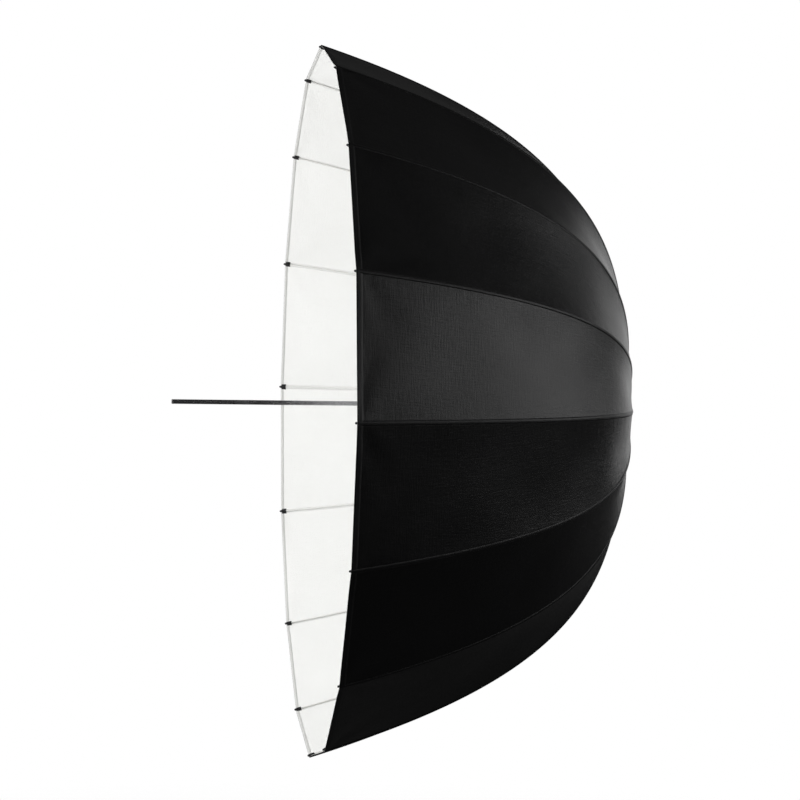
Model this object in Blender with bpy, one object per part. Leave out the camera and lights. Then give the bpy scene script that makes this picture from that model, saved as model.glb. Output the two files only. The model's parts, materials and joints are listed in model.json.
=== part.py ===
"""Deep sixteen-rib umbrella reflector for a studio light, open and latched on its shaft.

Metres, +Z up. The shaft lies along X: its free end points to -X, the crown and the closed end
of the bowl point to +X. The origin is on the shaft where a stand's umbrella holder grips it.
Every rib is drawn once, standing in the XZ plane, and turned about the shaft into its place.
"Drop" is the distance from the crown end of the bowl towards the shaft's free end.
"""

import math

import bmesh
import bpy
import numpy as np
from mathutils import Matrix, Vector

# Bowl
RIB_COUNT = 16
RIM_RADIUS = 0.625
BOWL_DEPTH = 0.546
ROUND_SHARE = 0.33  # share of the depth that follows the square of the radius
SHOULDER_POWER = 4.5  # the rest follows this power, which makes the steep side
STATIONS = 14  # places along a rib where cloth and rod both change direction
HUB_HOLE_RADIUS = 0.0052
CLOTH_THICKNESS = 0.0005
CLOTH_GAP = 0.0003
GORE_SAG = 0.006
GORE_STEPS = 3

# Shaft, from the holder's grip at the origin
GRIP_TO_FREE_END = 0.060
FREE_END_TO_RIM = 0.252
SHAFT_RADIUS = 0.004
SHAFT_BORE_RADIUS = 0.003
SHAFT_PAST_APEX = 0.0035
END_CAP_FACE = 0.0015
RUNNING_GAP = 0.0003

# Ribs and stretchers
ROD_RADIUS = 0.0016
ROD_INSET = 0.0038
SLEEVE_RADIUS = 0.0021
BLADE_HALF_WIDTH = 0.0008
BLADE_HALF_HEIGHT = 0.0020
STRAIGHT_RADIUS = 0.030  # a rib is straight from its eye to the first station past this radius
BRACKET_STATION = 4
BRACKET_DROP = 0.0055
TAB_RADIUS = 0.0026
TAB_ROOT_HALF = 0.0040
TAB_HOLE_RADIUS = 0.0011
TAB_PIN_RADIUS = 0.0009
TAB_PIN_HALF = 0.0018
BEND_PAST_BRACKET = 0.0120
CAP_LENGTH = 0.0130
CAP_OVERHANG = 0.0030
STRETCHER_RADIUS = 0.0015
FORK_HALF_WIDTH = 0.0024
FORK_HALF_HEIGHT = 0.0026
EYE_DROP = 0.0070
EYE_HOLE_RADIUS = 0.00085
WIRE_RING_RADIUS = 0.0122
WIRE_RADIUS = 0.0006
RUNNER_DROP = 0.220

# Crown and runner
FLANGE_RADIUS = 0.0185
FLANGE_HALF = 0.0036
SLOT_FLOOR = 0.0100
SLOT_WIDTH = 0.0022
GROOVE_HALF = 0.0010
GROOVE_FLOOR = 0.0112
BORE_RADIUS = SHAFT_RADIUS + RUNNING_GAP
CROWN_FRONT = 0.0050
CROWN_TAIL = 0.0120
CROWN_BOSS_RADIUS = 0.0090
RUNNER_NOSE = 0.0060
RUNNER_NOSE_RADIUS = 0.0078
RUNNER_TAIL = 0.0300
GRIP_RADIUS = 0.0086
GRIP_TAIL = 0.0245
COLLAR_RADIUS = 0.0104
COLLAR_START = 0.0260
KEYWAY_WIDTH = 0.0026
KEYWAY_TOP = 0.0066

# Washer and finial that hold the cloth, measured out from the apex
WASHER_RADIUS = 0.0160
WASHER_NEAR = 0.0003
WASHER_FAR = 0.0015
FINIAL_RADIUS = 0.0108
FINIAL_NEAR = 0.0018
FINIAL_SHOULDER = 0.0026
FINIAL_DOME = 0.0044
FINIAL_STEPS = 5

# Catch that the runner rides over, and the pin it stops against
CATCH_WIDTH = 0.0018
CATCH_PROUD = 0.0020
CATCH_SLOT = (0.0024, 0.0110)
STOP_PIN_RADIUS = 0.0008
STOP_PIN_HALF = 0.0062

RIM_X = FREE_END_TO_RIM - GRIP_TO_FREE_END
APEX_X = RIM_X + BOWL_DEPTH
RUNNER_X = APEX_X - RUNNER_DROP
CROWN_X = APEX_X - EYE_DROP

MATERIALS = {
    "black_cloth": ((0.012, 0.012, 0.013), 0.65, 0.0),
    "white_cloth": ((0.85, 0.85, 0.83), 0.60, 0.0),
    "white_fibreglass": ((0.80, 0.80, 0.78), 0.35, 0.0),
    "black_plastic": ((0.02, 0.02, 0.02), 0.40, 0.0),
    "dark_steel": ((0.09, 0.09, 0.10), 0.25, 1.0),
    "plain_steel": ((0.55, 0.56, 0.57), 0.30, 1.0),
}


def clear_scene():
    for thing in list(bpy.data.objects):
        bpy.data.objects.remove(thing, do_unlink=True)


def material(name):
    made = bpy.data.materials.get(name)
    if made is None:
        colour, roughness, metallic = MATERIALS[name]
        made = bpy.data.materials.new(name)
        made.use_nodes = True
        shader = made.node_tree.nodes["Principled BSDF"]
        shader.inputs["Base Color"].default_value = (*colour, 1.0)
        shader.inputs["Roughness"].default_value = roughness
        shader.inputs["Metallic"].default_value = metallic
    return made


def mesh_from(name, points, faces):
    """A closed mesh with its faces turned out."""
    mesh = bpy.data.meshes.new(name)
    mesh.from_pydata([tuple(p) for p in points], [], faces)
    shape = bmesh.new()
    shape.from_mesh(mesh)
    bmesh.ops.recalc_face_normals(shape, faces=shape.faces)
    shape.to_mesh(mesh)
    shape.free()
    return mesh


def place(name, mesh, slot, location=(0, 0, 0), turn=0.0):
    """One named sub-part at its place, turned about the shaft."""
    if not mesh.materials:
        mesh.materials.append(material(slot))
    thing = bpy.data.objects.new(name, mesh)
    thing.location = location
    thing.rotation_euler = (turn, 0, 0)
    bpy.context.scene.collection.objects.link(thing)
    return thing


def combined(base, others, operation):
    """The base mesh with each of the other meshes added to it or cut from it."""
    helpers = [bpy.data.objects.new("helper", m) for m in (base, *others)]
    for helper in helpers:
        bpy.context.scene.collection.objects.link(helper)
    for other in helpers[1:]:
        step = helpers[0].modifiers.new("step", "BOOLEAN")
        step.solver = "EXACT"
        step.operation = operation
        step.object = other
    bpy.context.view_layer.update()
    graph = bpy.context.evaluated_depsgraph_get()
    result = bpy.data.meshes.new_from_object(helpers[0].evaluated_get(graph))
    result.materials.clear()
    for helper in helpers:
        bpy.data.objects.remove(helper, do_unlink=True)
    return result


def lathe(name, outline, segments=32, closed=False):
    """Turns an outline of (x, radius) about the shaft's axis; closed joins its ends into a bore."""
    points, rings = [], []
    for x, radius in outline:
        if radius == 0:
            rings.append([len(points)] * segments)
            points.append((x, 0, 0))
            continue
        rings.append(list(range(len(points), len(points) + segments)))
        for k in range(segments):
            angle = 2 * math.pi * k / segments
            points.append((x, radius * math.cos(angle), radius * math.sin(angle)))
    faces = []
    for a, b in zip(rings, rings[1:] + rings[:1] if closed else rings[1:]):
        for k in range(segments):
            corners = [a[k], a[(k + 1) % segments], b[(k + 1) % segments], b[k]]
            faces.append(list(dict.fromkeys(corners)))
    if not closed:
        faces += [ring for ring in (rings[0], rings[-1]) if ring[0] != ring[1]]
    return mesh_from(name, points, faces)


def wire_ring(name, segments=32, sides=6):
    outline = []
    for k in range(sides):
        angle = 2 * math.pi * k / sides
        outline.append((WIRE_RADIUS * math.cos(angle), WIRE_RING_RADIUS + WIRE_RADIUS * math.sin(angle)))
    return lathe(name, outline, segments, closed=True)


def box(name, low, high):
    points = [(x, y, z) for x in (low[0], high[0]) for y in (low[1], high[1]) for z in (low[2], high[2])]
    faces = [(0, 1, 3, 2), (4, 6, 7, 5), (0, 4, 5, 1), (2, 3, 7, 6), (0, 2, 6, 4), (1, 5, 7, 3)]
    return mesh_from(name, points, faces)


def cross_pin(name, radius, half, centre=(0.0, 0.0), sides=10):
    """A cylinder along Y whose axis stands at the given (x, z)."""
    points, faces = [], []
    for y in (-half, half):
        for k in range(sides):
            angle = 2 * math.pi * k / sides
            points.append((centre[0] + radius * math.cos(angle), y, centre[1] + radius * math.sin(angle)))
    for k in range(sides):
        n = (k + 1) % sides
        faces.append((k, n, sides + n, sides + k))
    faces += [tuple(range(sides)), tuple(range(sides, 2 * sides))]
    return mesh_from(name, points, faces)


def plate(name, outline, half):
    """A flat plate in the XZ plane, half is half its thickness along Y."""
    count = len(outline)
    points = [(x, y, z) for y in (-half, half) for x, z in outline]
    faces = [tuple(range(count)), tuple(range(count, 2 * count))]
    for k in range(count):
        n = (k + 1) % count
        faces.append((k, n, count + n, count + k))
    return mesh_from(name, points, faces)


def bar(name, sections):
    """A bar through eight-sided sections (x, z, direction, half height, half width, corner).

    The direction is the bar's heading in the XZ plane and the corner says how square it is.
    """
    points, faces = [], []
    for x, z, heading, height, width, corner in sections:
        up = (-math.sin(heading), math.cos(heading))
        ring = [(1, corner), (corner, 1), (-corner, 1), (-1, corner)]
        ring += [(-a, -b) for a, b in ring]
        for side, rise in ring:
            points.append((x + up[0] * rise * height, side * width, z + up[1] * rise * height))
    for k in range(len(sections) - 1):
        for a in range(8):
            b = (a + 1) % 8
            faces.append((8 * k + a, 8 * k + b, 8 * k + 8 + b, 8 * k + 8 + a))
    faces += [tuple(range(8)), tuple(range(8 * len(sections) - 8, 8 * len(sections)))]
    return mesh_from(name, points, faces)


ROUND = math.tan(math.pi / 8)
SQUARE = 0.8


def depth_at(radius):
    share = radius / RIM_RADIUS
    return BOWL_DEPTH * (ROUND_SHARE * share**2 + (1 - ROUND_SHARE) * share**SHOULDER_POWER)


def slope_at(radius):
    share = radius / RIM_RADIUS
    rise = 2 * ROUND_SHARE * share
    rise += (1 - ROUND_SHARE) * SHOULDER_POWER * share ** (SHOULDER_POWER - 1)
    return BOWL_DEPTH * rise / RIM_RADIUS


def station_radii():
    """Radii of the stations, evenly spaced along the bowl's side."""
    radii = np.linspace(HUB_HOLE_RADIUS, RIM_RADIUS, 2000)
    depths = depth_at(radii)
    along = np.concatenate([[0], np.cumsum(np.hypot(np.diff(radii), np.diff(depths)))])
    return np.interp(np.linspace(0, along[-1], STATIONS + 1), along, radii)


def profile(radius, inset):
    """The (x, z) of a point in the XZ plane, this far inside the bowl's outer face."""
    slope = slope_at(radius)
    size = math.hypot(1, slope)
    return np.array([APEX_X - depth_at(radius) - inset / size, radius - inset * slope / size])


def about_shaft(point, angle):
    """Turns an (x, z) point of the XZ plane about the shaft."""
    return np.array([point[0], -point[1] * math.sin(angle), point[1] * math.cos(angle)])


RADII = station_radii()
ROD_LINE = np.array([profile(r, ROD_INSET) for r in RADII])
EYE = np.array([CROWN_X, WIRE_RING_RADIUS])
RUNNER_EYE = np.array([RUNNER_X, WIRE_RING_RADIUS])


def heading_between(a, b):
    return math.atan2(b[1] - a[1], b[0] - a[0])


BRACKET_HEADING = heading_between(ROD_LINE[BRACKET_STATION - 1], ROD_LINE[BRACKET_STATION + 1])
INWARD = np.array([-math.sin(BRACKET_HEADING), math.cos(BRACKET_HEADING)])
BRACKET_PIVOT = ROD_LINE[BRACKET_STATION] + INWARD * BRACKET_DROP
NEXT_HEADING = heading_between(ROD_LINE[BRACKET_STATION], ROD_LINE[BRACKET_STATION + 1])
NEXT_WAY = np.array([math.cos(NEXT_HEADING), math.sin(NEXT_HEADING)])
BEND_PIVOT = ROD_LINE[BRACKET_STATION] + NEXT_WAY * BEND_PAST_BRACKET


def canopy_layer(name, inset):
    """One layer of cloth: sixteen gores, taut between the ribs and a little hollow across.

    It is cut into triangles here, so that two layers never cross.
    """
    columns = RIB_COUNT * GORE_STEPS
    layers = []
    for depth in (inset, inset + CLOTH_THICKNESS):
        line = [profile(r, depth) for r in RADII]
        for j, point in enumerate(line):
            slope = slope_at(RADII[j])
            inward = np.array([-1, -slope]) / math.hypot(1, slope)
            bow = GORE_SAG * math.sin(math.pi * j / STATIONS) ** 2
            for c in range(columns):
                gore, step = divmod(c, GORE_STEPS)
                t = step / GORE_STEPS
                sides = [about_shaft(point, 2 * math.pi * (gore + k) / RIB_COUNT) for k in (0, 1)]
                middle = 2 * math.pi * (gore + 0.5) / RIB_COUNT
                hollow = about_shaft(inward, middle) * bow * 4 * t * (1 - t)
                layers.append(sides[0] * (1 - t) + sides[1] * t + hollow)
    size = columns * (STATIONS + 1)

    def at(layer, j, c):
        return layer * size + j * columns + c % columns

    faces = []
    for c in range(columns):
        for j in range(STATIONS):
            for layer in (0, 1):
                a, b = at(layer, j, c), at(layer, j, c + 1)
                d, e = at(layer, j + 1, c), at(layer, j + 1, c + 1)
                faces += [(a, b, e), (a, e, d)] if layer else [(a, e, b), (a, d, e)]
        for j, order in ((0, 1), (STATIONS, -1)):
            faces.append((at(0, j, c), at(0, j, c + 1), at(1, j, c + 1), at(1, j, c))[::order])
    return mesh_from(name, layers, faces)


def along(point, heading, distance):
    return point[0] + math.cos(heading) * distance, point[1] + math.sin(heading) * distance


def rib_inner_mesh():
    """Eye blade on the crown's wire, rod to the bracket, sleeve and the tab for the stretcher."""
    rod = ROD_LINE - EYE
    first = next(j for j in range(STATIONS) if RADII[j] > STRAIGHT_RADIUS)
    start = heading_between((0, 0), rod[first])
    blade = ((-0.0019, 0.0009), (-0.0012, 0.0017), (0.0, BLADE_HALF_HEIGHT), (0.009, BLADE_HALF_HEIGHT))
    sections = []
    for distance, height in blade:
        sections.append((*along((0, 0), start, distance), start, height, BLADE_HALF_WIDTH, SQUARE))
    sections.append((*along((0, 0), start, 0.014), start, ROD_RADIUS, ROD_RADIUS, ROUND))
    for j in range(first, BRACKET_STATION):
        heading = heading_between(rod[j - 1] if j > first else (0, 0), rod[j + 1])
        sections.append((*rod[j], heading, ROD_RADIUS, ROD_RADIUS, ROUND))
    before = heading_between(rod[BRACKET_STATION], rod[BRACKET_STATION - 1])
    for distance, radius in ((0.0085, ROD_RADIUS), (0.0075, SLEEVE_RADIUS)):
        place_on = along(rod[BRACKET_STATION], before, distance)
        sections.append((*place_on, before + math.pi, radius, radius, ROUND))
    sections.append((*rod[BRACKET_STATION], BRACKET_HEADING, SLEEVE_RADIUS, SLEEVE_RADIUS, ROUND))
    place_on = along(rod[BRACKET_STATION], NEXT_HEADING, 0.0095)
    sections.append((*place_on, NEXT_HEADING, SLEEVE_RADIUS, SLEEVE_RADIUS, ROUND))
    body = bar("rib_inner", sections)

    pivot = BRACKET_PIVOT - EYE
    tab = [along(pivot, BRACKET_HEADING + math.pi * k / 6, TAB_RADIUS) for k in range(7)]
    root = pivot - INWARD * (BRACKET_DROP - 0.0010)
    tab += [along(root, BRACKET_HEADING, side * TAB_ROOT_HALF) for side in (-1, 1)]
    body = combined(body, [plate("tab", tab, BLADE_HALF_WIDTH)], "UNION")
    through = 0.002
    holes = [cross_pin("eye", EYE_HOLE_RADIUS, through), cross_pin("pivot", TAB_HOLE_RADIUS, through, pivot)]
    return combined(body, holes, "DIFFERENCE")


def rib_outer_mesh():
    """Rod from the bend to the tip, with the moulded cap at its end."""
    rod = ROD_LINE - BEND_PIVOT
    sections = []
    for distance, radius in ((-0.0015, 0.0005), (-0.0010, 0.0012), (0.0, ROD_RADIUS)):
        sections.append((*along((0, 0), NEXT_HEADING, distance), NEXT_HEADING, radius, radius, ROUND))
    for j in range(BRACKET_STATION + 1, STATIONS):
        heading = heading_between(rod[j - 1], rod[j + 1])
        sections.append((*rod[j], heading, ROD_RADIUS, ROD_RADIUS, ROUND))
    last = heading_between(rod[-2], rod[-1])
    for distance, radius in (
        (CAP_OVERHANG - CAP_LENGTH - 0.0010, ROD_RADIUS),
        (CAP_OVERHANG - CAP_LENGTH, SLEEVE_RADIUS),
        (CAP_OVERHANG - 0.0008, SLEEVE_RADIUS),
        (CAP_OVERHANG, 0.0012),
    ):
        sections.append((*along(rod[-1], last, distance), last, radius, radius, ROUND))
    return bar("rib_outer", sections)


def stretcher_mesh():
    """Fork round the rib's tab with its pin, rod, and the blade in the runner's slot.

    The blade stops just short of the runner's wire: that pivot is left open.
    """
    reach = RUNNER_EYE - BRACKET_PIVOT
    length, heading = math.hypot(*reach), math.atan2(reach[1], reach[0])
    sections = []
    for distance, height, width, corner in (
        (-0.0024, 0.0011, FORK_HALF_WIDTH, SQUARE),
        (-0.0014, 0.0022, FORK_HALF_WIDTH, SQUARE),
        (0.0, FORK_HALF_HEIGHT, FORK_HALF_WIDTH, SQUARE),
        (0.0060, 0.0024, FORK_HALF_WIDTH, SQUARE),
        (0.0095, STRETCHER_RADIUS, STRETCHER_RADIUS, ROUND),
        (length - 0.0150, STRETCHER_RADIUS, STRETCHER_RADIUS, ROUND),
        (length - 0.0120, BLADE_HALF_HEIGHT, BLADE_HALF_WIDTH, SQUARE),
        (length - 0.0030, BLADE_HALF_HEIGHT, BLADE_HALF_WIDTH, SQUARE),
        (length - 0.0018, 0.0016, BLADE_HALF_WIDTH, SQUARE),
        (length - 0.0012, 0.0008, BLADE_HALF_WIDTH, SQUARE),
    ):
        sections.append((*along((0, 0), heading, distance), heading, height, width, corner))
    body = bar("stretcher", sections)
    gap = box("gap", (-0.004, -SLOT_WIDTH / 2, -0.004), (0.0044, SLOT_WIDTH / 2, 0.004))
    gap.transform(Matrix.Rotation(-heading, 4, "Y"))
    body = combined(body, [gap], "DIFFERENCE")
    return combined(body, [cross_pin("pin", TAB_PIN_RADIUS, TAB_PIN_HALF)], "UNION")


def slots(name):
    """Sixteen radial slots, as one cutter."""
    blade = box(name, (-0.02, -SLOT_WIDTH / 2, SLOT_FLOOR), (0.02, SLOT_WIDTH / 2, 0.03))
    shape = bmesh.new()
    for k in range(RIB_COUNT):
        turned = blade.copy()
        turned.transform(Matrix.Rotation(2 * math.pi * k / RIB_COUNT, 4, "X"))
        shape.from_mesh(turned)
    cutter = bpy.data.meshes.new(name)
    shape.to_mesh(cutter)
    shape.free()
    return cutter


def notched_flange(front, back, front_radius, back_radius):
    """Outline of a slotted flange with its wire groove, between a front and a back boss."""
    return [
        (front, BORE_RADIUS),
        (front, front_radius),
        (FLANGE_HALF, front_radius + 0.0004),
        (FLANGE_HALF, FLANGE_RADIUS),
        (GROOVE_HALF, FLANGE_RADIUS),
        (GROOVE_HALF, GROOVE_FLOOR),
        (-GROOVE_HALF, GROOVE_FLOOR),
        (-GROOVE_HALF, FLANGE_RADIUS),
        (-FLANGE_HALF, FLANGE_RADIUS),
        (-FLANGE_HALF, back_radius),
        (back, back_radius),
    ]


def crown_mesh():
    outline = notched_flange(CROWN_FRONT, -CROWN_TAIL, CROWN_BOSS_RADIUS, CROWN_BOSS_RADIUS)
    outline.append((-CROWN_TAIL, BORE_RADIUS))
    return combined(lathe("crown", outline, closed=True), [slots("crown_slots")], "DIFFERENCE")


def runner_mesh():
    """Slotted flange, finger sleeve with a collar, and a keyway that clears the catch."""
    outline = notched_flange(RUNNER_NOSE, -GRIP_TAIL, RUNNER_NOSE_RADIUS, GRIP_RADIUS)
    outline += [
        (-COLLAR_START, COLLAR_RADIUS),
        (-RUNNER_TAIL + 0.0006, COLLAR_RADIUS),
        (-RUNNER_TAIL, COLLAR_RADIUS - 0.0006),
        (-RUNNER_TAIL, BORE_RADIUS),
    ]
    body = lathe("runner", outline, closed=True)
    flange_slots = slots("runner_slots")
    flange_slots.transform(Matrix.Scale(0.3, 4, Vector((1, 0, 0))))
    keyway = box("keyway", (-0.04, -KEYWAY_WIDTH / 2, 0.002), (0.02, KEYWAY_WIDTH / 2, KEYWAY_TOP))
    return combined(body, [flange_slots, keyway], "DIFFERENCE")


def shaft_mesh(catch_x, stop_x):
    """Steel tube with a slot for the catch and a cross hole for the stop pin."""
    low, high = -GRIP_TO_FREE_END + END_CAP_FACE + RUNNING_GAP, APEX_X + SHAFT_PAST_APEX
    chamfer = 0.0004
    outline = [
        (low, SHAFT_BORE_RADIUS),
        (low, SHAFT_RADIUS - chamfer),
        (low + chamfer, SHAFT_RADIUS),
        (high, SHAFT_RADIUS),
        (high, SHAFT_BORE_RADIUS),
    ]
    tube = lathe("shaft_tube", outline, 32, closed=True)
    width, length = CATCH_SLOT
    slot = box("slot", (catch_x - length + 0.0010, -width / 2, 0), (catch_x + 0.0010, width / 2, 0.006))
    hole = cross_pin("hole", STOP_PIN_RADIUS + RUNNING_GAP, 0.006, (stop_x, 0))
    return combined(tube, [slot, hole], "DIFFERENCE")


def catch_mesh():
    """Leaf with a wedge nose: upright towards the crown, sloping towards the free end."""
    top = SHAFT_RADIUS + CATCH_PROUD
    outline = [
        (-0.0230, -0.0005),
        (0.0015, -0.0005),
        (0.0015, 0.0002),
        (0.0, 0.0004),
        (0.0, top),
        (-0.0012, top),
        (-0.0072, 0.0030),
        (-0.0072, 0.0002),
        (-0.0230, 0.0002),
    ]
    return plate("catch_spring", outline, CATCH_WIDTH / 2)


def build_shaft():
    catch_x = RUNNER_X - RUNNER_TAIL - 0.0005
    stop_x = RUNNER_X + RUNNER_NOSE + 0.0005 + STOP_PIN_RADIUS
    place("shaft_tube", shaft_mesh(catch_x, stop_x), "dark_steel")
    place("catch_spring", catch_mesh(), "plain_steel", (catch_x, 0, 0))
    pin = cross_pin("stop_pin", STOP_PIN_RADIUS, STOP_PIN_HALF)
    place("stop_pin", pin, "plain_steel", (stop_x, 0, 0))
    face = -GRIP_TO_FREE_END
    cap = [
        (face, 0),
        (face, SHAFT_RADIUS - 0.0003),
        (face + 0.0003, SHAFT_RADIUS),
        (face + END_CAP_FACE, SHAFT_RADIUS),
        (face + END_CAP_FACE, SHAFT_BORE_RADIUS - RUNNING_GAP),
        (face + 0.0100, SHAFT_BORE_RADIUS - RUNNING_GAP),
        (face + 0.0100, 0),
    ]
    place("shaft_end_cap", lathe("shaft_end_cap", cap, 32), "black_plastic")


def build_crown():
    place("crown", crown_mesh(), "black_plastic", (CROWN_X, 0, 0))
    place("crown_wire", wire_ring("crown_wire"), "plain_steel", (CROWN_X, 0, 0))
    washer = [
        (WASHER_NEAR, BORE_RADIUS),
        (WASHER_NEAR, WASHER_RADIUS),
        (WASHER_NEAR + 0.0005, WASHER_RADIUS),
        (WASHER_FAR, WASHER_RADIUS - 0.0010),
        (WASHER_FAR, BORE_RADIUS),
    ]
    place("apex_washer", lathe("apex_washer", washer, closed=True), "black_plastic", (APEX_X, 0, 0))
    finial = [
        (SHAFT_PAST_APEX + RUNNING_GAP, 0),
        (SHAFT_PAST_APEX + RUNNING_GAP, BORE_RADIUS),
        (FINIAL_NEAR, BORE_RADIUS),
        (FINIAL_NEAR, FINIAL_RADIUS),
    ]
    for k in range(1, FINIAL_STEPS):
        angle = math.pi / 2 * k / FINIAL_STEPS
        finial.append((FINIAL_SHOULDER + FINIAL_DOME * math.sin(angle), FINIAL_RADIUS * math.cos(angle)))
    finial.append((FINIAL_SHOULDER + FINIAL_DOME, 0))
    place("finial", lathe("finial", finial, 32), "black_plastic", (APEX_X, 0, 0))


def build_runner():
    place("runner", runner_mesh(), "black_plastic", (RUNNER_X, 0, 0))
    place("runner_wire", wire_ring("runner_wire"), "plain_steel", (RUNNER_X, 0, 0))


def build_ribs():
    shapes = (
        ("rib_inner", rib_inner_mesh(), "white_fibreglass", EYE),
        ("rib_outer", rib_outer_mesh(), "white_fibreglass", BEND_PIVOT),
        ("stretcher", stretcher_mesh(), "plain_steel", BRACKET_PIVOT),
    )
    for k in range(RIB_COUNT):
        turn = 2 * math.pi * k / RIB_COUNT
        for name, mesh, slot, pivot in shapes:
            place(f"{name}_{k + 1:02d}", mesh, slot, about_shaft(pivot, turn), turn)


def build_canopy():
    place("canopy_cover", canopy_layer("canopy_cover", 0.0), "black_cloth")
    lining_inset = CLOTH_THICKNESS + CLOTH_GAP
    place("canopy_lining", canopy_layer("canopy_lining", lining_inset), "white_cloth")


clear_scene()
build_shaft()
build_crown()
build_runner()
build_ribs()
build_canopy()
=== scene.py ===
"""Looks of a deep sixteen-rib umbrella reflector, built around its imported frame.

Metres, in the row frame: the shaft lies along X, the crown is at +X, the open mouth faces -X.
The cloth is drawn on a grid of (u, s): u counts gores round the shaft from the rib at +Z,
s is the distance along the cloth from the hole in its middle. An inset is measured inwards from
the outer face of the cover.
"""

import json
import math

import bmesh
import bpy
import numpy as np
from mathutils import Matrix, Vector

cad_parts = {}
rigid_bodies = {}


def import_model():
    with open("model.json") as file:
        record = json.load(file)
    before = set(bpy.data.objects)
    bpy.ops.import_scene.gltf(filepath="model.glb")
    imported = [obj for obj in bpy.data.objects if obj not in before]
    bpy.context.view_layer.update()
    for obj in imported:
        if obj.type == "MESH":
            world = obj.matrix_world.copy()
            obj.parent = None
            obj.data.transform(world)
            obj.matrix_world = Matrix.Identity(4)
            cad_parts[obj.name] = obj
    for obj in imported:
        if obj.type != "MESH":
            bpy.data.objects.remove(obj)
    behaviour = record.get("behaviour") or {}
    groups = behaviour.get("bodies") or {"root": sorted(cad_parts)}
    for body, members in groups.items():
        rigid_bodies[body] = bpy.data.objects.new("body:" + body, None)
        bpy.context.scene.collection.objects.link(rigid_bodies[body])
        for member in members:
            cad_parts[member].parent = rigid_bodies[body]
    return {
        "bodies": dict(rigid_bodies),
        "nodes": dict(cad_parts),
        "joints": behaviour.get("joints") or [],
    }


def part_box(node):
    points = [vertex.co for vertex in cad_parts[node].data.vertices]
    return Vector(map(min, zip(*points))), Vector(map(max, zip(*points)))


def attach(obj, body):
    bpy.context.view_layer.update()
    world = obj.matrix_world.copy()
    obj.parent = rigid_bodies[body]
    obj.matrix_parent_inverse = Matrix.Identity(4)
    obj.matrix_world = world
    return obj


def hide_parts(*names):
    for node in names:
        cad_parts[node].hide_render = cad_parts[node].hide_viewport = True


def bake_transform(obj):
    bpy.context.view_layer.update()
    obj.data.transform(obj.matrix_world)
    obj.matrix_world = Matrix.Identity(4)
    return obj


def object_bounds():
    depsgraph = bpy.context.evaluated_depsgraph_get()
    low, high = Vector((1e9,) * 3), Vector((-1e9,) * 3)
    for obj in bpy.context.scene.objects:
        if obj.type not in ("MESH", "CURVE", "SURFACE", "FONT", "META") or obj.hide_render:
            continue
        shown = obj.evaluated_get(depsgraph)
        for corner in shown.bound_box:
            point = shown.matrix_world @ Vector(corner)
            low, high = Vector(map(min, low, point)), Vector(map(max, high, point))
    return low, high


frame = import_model()
cad_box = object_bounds()
joints = {joint["name"]: joint for joint in frame["joints"]}

# Bowl, as in the frame
RIB_COUNT = 16
GORE_ANGLE = 2 * math.pi / RIB_COUNT
ROUND_SHARE = 0.33
SHOULDER_POWER = 4.5
HUB_HOLE_RADIUS = 0.0052
GORE_SAG = 0.006
cover_low, cover_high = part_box("canopy_cover")
RIM_X, APEX_X, RIM_RADIUS = cover_low.x, cover_high.x, cover_high.z
BOWL_DEPTH = APEX_X - RIM_X

# Where the layers lie, inset from the cover's outer face
COVER_INSET = 0.00025
LINING_INSET = 0.00105
ROD_INSET = 0.0038
ROD_RADIUS = 0.0016

# Strips sewn along the ribs, and the space between gores in the weave's pattern
SEAM_START_RADIUS = 0.0195
SEAM_HALF_WIDTH = 0.0040
POCKET_HALF_WIDTH = 0.0050
STRIP_SHARE = 0.22
GORE_SPACING = 0.26

# Cloth grid and its small folds
GORE_COLUMNS = (0.0, 0.03, 0.08, 0.15, 0.24, 0.34, 0.45, 0.55, 0.66, 0.76, 0.85, 0.92, 0.97)
CLOTH_ROWS = 132
TIP_FOLD = 0.0022
TIP_FOLD_REACH = 0.060
TIP_FOLD_RISE, TIP_FOLD_CLEAR = 0.030, 0.008
PUCKER = 0.00035
PUCKER_LENGTH, PUCKER_DRIFT = 0.021, 0.11
PUCKER_REACH, PUCKER_CLEAR = 0.012, 0.004
UNDULATION = 0.0011
LONG_WAVE, SHORT_WAVE = 0.31, 0.17
CROWN_HOLD_RADIUS, CROWN_HOLD_FADE = 0.014, 0.030
PLEAT_SHARE = 0.20
LEAST_SHARE = 1e-4
BEND_LEAD, BEND_LENGTH = 0.002, 0.070

# Camera, from the object's own size
CAMERA_TURN = math.radians(-7.6)
CAMERA_RISE = math.radians(2.75)
CAMERA_ROLL = math.radians(1.0)
CAMERA_RADII = 9.32
CAMERA_LENS = 149.1
AIM_DEPTH, AIM_RISE = 0.2392, 0.0112


# ---------------------------------------------------------------- shape of the bowl

def depth_at(radius):
    share = radius / RIM_RADIUS
    return BOWL_DEPTH * (ROUND_SHARE * share**2 + (1 - ROUND_SHARE) * share**SHOULDER_POWER)


def slope_at(radius):
    share = radius / RIM_RADIUS
    rise = 2 * ROUND_SHARE * share
    rise += (1 - ROUND_SHARE) * SHOULDER_POWER * share ** (SHOULDER_POWER - 1)
    return BOWL_DEPTH * rise / RIM_RADIUS


TABLE_RADII = np.linspace(HUB_HOLE_RADIUS, RIM_RADIUS * 1.02, 6000)
TABLE_LENGTHS = np.concatenate(
    [[0], np.cumsum(np.hypot(np.diff(TABLE_RADII), np.diff(depth_at(TABLE_RADII))))]
)
CLOTH_LENGTH = float(np.interp(RIM_RADIUS, TABLE_RADII, TABLE_LENGTHS))
GORE_WIDTH = 2 * RIM_RADIUS * math.sin(GORE_ANGLE / 2)


def radius_of(s):
    return np.interp(s, TABLE_LENGTHS, TABLE_RADII)


def width_at(s):
    """Width of a gore at s, straight from rib to rib."""
    return 2 * radius_of(s) * math.sin(GORE_ANGLE / 2)


def length_of(radius):
    return float(np.interp(radius, TABLE_RADII, TABLE_LENGTHS))


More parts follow.
